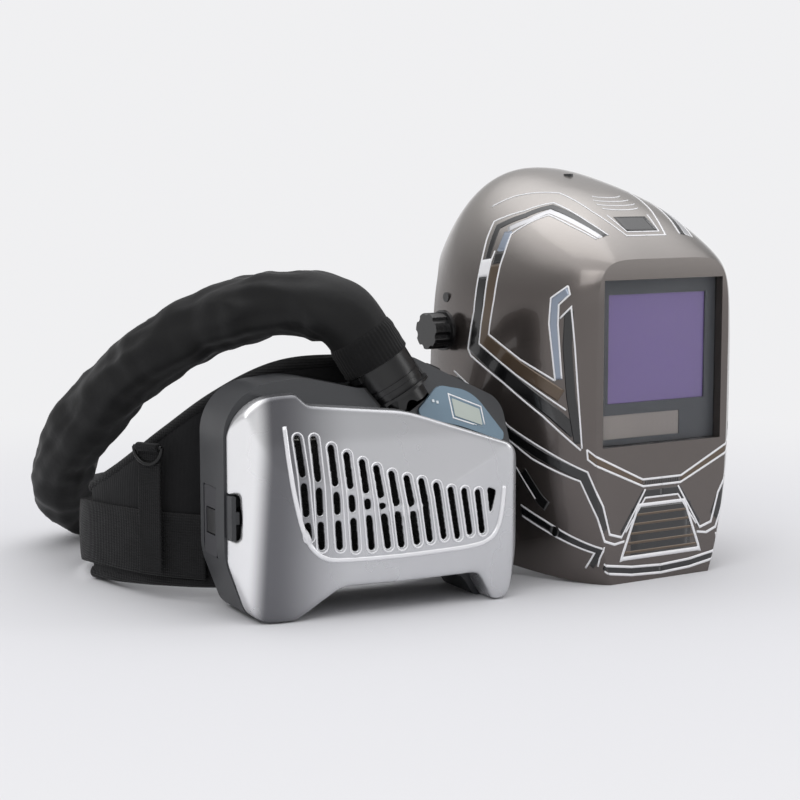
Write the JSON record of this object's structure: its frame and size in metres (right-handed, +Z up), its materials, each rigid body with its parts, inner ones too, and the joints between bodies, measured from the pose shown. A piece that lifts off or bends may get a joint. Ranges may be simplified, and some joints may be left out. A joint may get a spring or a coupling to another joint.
{
  "type": "powered air respirator",
  "caption": "Belt-worn powered air respirator: slotted silver blower on a padded belt, sleeved air hose and full-face welding helmet with a self-darkening window.",
  "frame": {"origin": "bottom centre of the blower, belt and helmet as they stand on a table, hose left out", "axes": "+X from the blower towards the helmet, -Y is the way the blower's front looks, +Z up"},
  "size_m": [0.547, 0.4208, 0.3287],
  "materials": {
    "charcoal_plastic": "fine moulded grain",
    "screw_steel": "blackened",
    "fan_plastic": "moulded",
    "motor_steel": "turned",
    "filter_media": "pleated",
    "gasket_rubber": "foam rubber",
    "mesh_steel": "dark mesh",
    "facia_blue": "glossy",
    "screen_glass": "grey-green display",
    "lamp_lens": "clear",
    "board_green": "board",
    "black_plastic": "satin",
    "belt_fabric": "woven, bound edge",
    "webbing": "ribbed webbing",
    "sleeve_fabric": "smooth woven sleeve",
    "cuff_fabric": "ribbed elastic",
    "silver_paint": "satin silver paint",
    "battery_plastic": "moulded",
    "button_rubber": "matt",
    "ring_wire": "black wire",
    "headgear_plastic": "moulded",
    "pad_foam": "soft",
    "duct_plastic": "moulded",
    "knob_plastic": "gloss black",
    "shell_paint": "pewter metallic paint with graphics",
    "clear_lens": "clear",
    "cartridge_plastic": "dark grey",
    "sensor_glass": "dark",
    "filter_glass": "violet coated",
    "solar_cell": "brown-grey",
    "seal_fabric": "knit"
  },
  "bodies": {
    "blower": {"blower_housing": "charcoal_plastic", "rear_cover": "charcoal_plastic", "case_screws": "screw_steel", "fan_scroll": "fan_plastic", "fan_motor": "motor_steel", "particle_filter": "filter_media", "filter_seal": "gasket_rubber", "prefilter_mesh": "mesh_steel", "battery_guides": "charcoal_plastic", "display_panel": "facia_blue", "display_screen": "screen_glass", "status_lamps": "lamp_lens", "control_board": "board_green", "outlet_neck": "black_plastic", "outlet_rim": "black_plastic", "belt_pad": "belt_fabric", "belt_webbing_left": "webbing", "belt_webbing_right": "webbing", "belt_plate": "black_plastic", "buckle_socket": "black_plastic", "ring_keeper": "webbing", "air_hose": "sleeve_fabric", "hose_cuff_blower": "cuff_fabric"},
    "fan": {"impeller": "fan_plastic", "motor_shaft": "motor_steel"},
    "cover": {"filter_cover": "silver_paint"},
    "cover_latch": {"cover_latch": "charcoal_plastic"},
    "battery": {"battery_pack": "battery_plastic"},
    "battery_latch": {"battery_latch": "black_plastic"},
    "power_button": {"power_button": "button_rubber"},
    "airflow_button": {"airflow_button": "button_rubber"},
    "collar": {"hose_collar": "black_plastic"},
    "d_ring": {"d_ring": "ring_wire"},
    "buckle_tongue": {"buckle_tongue": "black_plastic"},
    "belt_adjuster": {"belt_adjuster": "black_plastic"},
    "headgear": {"headband": "headgear_plastic", "brow_pad": "pad_foam", "nape_pad": "pad_foam", "crown_strap": "headgear_plastic", "pivot_arms": "headgear_plastic", "pivot_bolts": "headgear_plastic", "ratchet_box": "headgear_plastic", "air_duct": "duct_plastic", "hose_cuff_helmet": "cuff_fabric"},
    "ratchet_knob": {"ratchet_knob": "knob_plastic"},
    "shell": {"helmet_shell": "shell_paint", "shell_studs": "knob_plastic", "cover_lens": "clear_lens", "darkening_cartridge": "cartridge_plastic", "arc_sensors": "sensor_glass", "filter_glass": "filter_glass", "solar_cell": "solar_cell", "inner_lens": "clear_lens", "cartridge_retainer": "headgear_plastic", "shade_knob_post": "headgear_plastic", "face_seal": "seal_fabric"},
    "shade_knob": {"shade_knob": "knob_plastic"},
    "pivot_knob_left": {"pivot_knob_left": "knob_plastic"},
    "pivot_knob_right": {"pivot_knob_right": "knob_plastic"}
  },
  "joints": [
    {"name": "fan_spin", "type": "hinge", "parent": "blower", "child": "fan", "pos_m": [-0.0492, -0.1084, 0.086], "axis": [0, 1, 0], "continuous": true},
    {"name": "cover_pull", "type": "slide", "parent": "blower", "child": "cover", "axis": [0, -1, 0], "range_m": [0, 0.06]},
    {"name": "cover_latch_press", "type": "slide", "parent": "blower", "child": "cover_latch", "axis": [1, 0, 0], "range_m": [0, 0.002], "stiffness_N_per_m": 900},
    {"name": "battery_slide", "type": "slide", "parent": "blower", "child": "battery", "axis": [-1, 0, 0], "range_m": [0, 0.1]},
    {"name": "battery_latch_press", "type": "slide", "parent": "battery", "child": "battery_latch", "axis": [1, 0, 0], "range_m": [0, 0.002], "stiffness_N_per_m": 900},
    {"name": "power_press", "type": "slide", "parent": "blower", "child": "power_button", "axis": [-0.4424, 0, -0.8968], "range_m": [0, 0.0012], "stiffness_N_per_m": 700},
    {"name": "airflow_press", "type": "slide", "parent": "blower", "child": "airflow_button", "axis": [-0.4424, 0, -0.8968], "range_m": [0, 0.0012], "stiffness_N_per_m": 700},
    {"name": "collar_turn", "type": "hinge", "parent": "blower", "child": "collar", "pos_m": [-0.0742, -0.1124, 0.158], "axis": [-0.49, 0.18, 0.853], "range_deg": [0, 25]},
    {"name": "ring_swing", "type": "hinge", "parent": "blower", "child": "d_ring", "pos_m": [-0.24716, -0.03994, 0.118], "axis": [0.5711, -0.8209, 0], "range_deg": [0, 50]},
    {"name": "buckle_release", "type": "slide", "parent": "blower", "child": "buckle_tongue", "axis": [1, 0, 0], "range_m": [0, 0.014]},
    {"name": "strap_adjust", "type": "slide", "parent": "blower", "child": "belt_adjuster", "axis": [1, 0, 0], "range_m": [-0.006, 0.018]},
    {"name": "helmet_lift", "type": "slide", "parent": "blower", "child": "headgear", "axis": [0, 0, 1], "range_m": [0, 0.12], "deforming": ["air_hose"]},
    {"name": "ratchet_turn", "type": "hinge", "parent": "headgear", "child": "ratchet_knob", "pos_m": [0.11478, 0.12041, 0.168], "axis": [-0.1219, 0.9925, 0], "continuous": true},
    {"name": "shell_tilt", "type": "hinge", "parent": "headgear", "child": "shell", "pos_m": [0.13085, -0.01041, 0.196], "axis": [-0.9925, -0.1219, 0], "range_deg": [0, 40]},
    {"name": "shade_turn", "type": "hinge", "parent": "shell", "child": "shade_knob", "pos_m": [0.14389, -0.11661, 0.124], "axis": [-0.1219, 0.9925, 0], "range_deg": [0, 270]},
    {"name": "left_pivot_turn", "type": "hinge", "parent": "shell", "child": "pivot_knob_left", "pos_m": [0.01174, -0.02503, 0.196], "axis": [-0.9925, -0.1219, 0], "range_deg": [-180, 180]},
    {"name": "right_pivot_turn", "type": "hinge", "parent": "shell", "child": "pivot_knob_right", "pos_m": [0.24995, 0.00422, 0.196], "axis": [0.9925, 0.1219, 0], "range_deg": [-180, 180]}
  ]
}
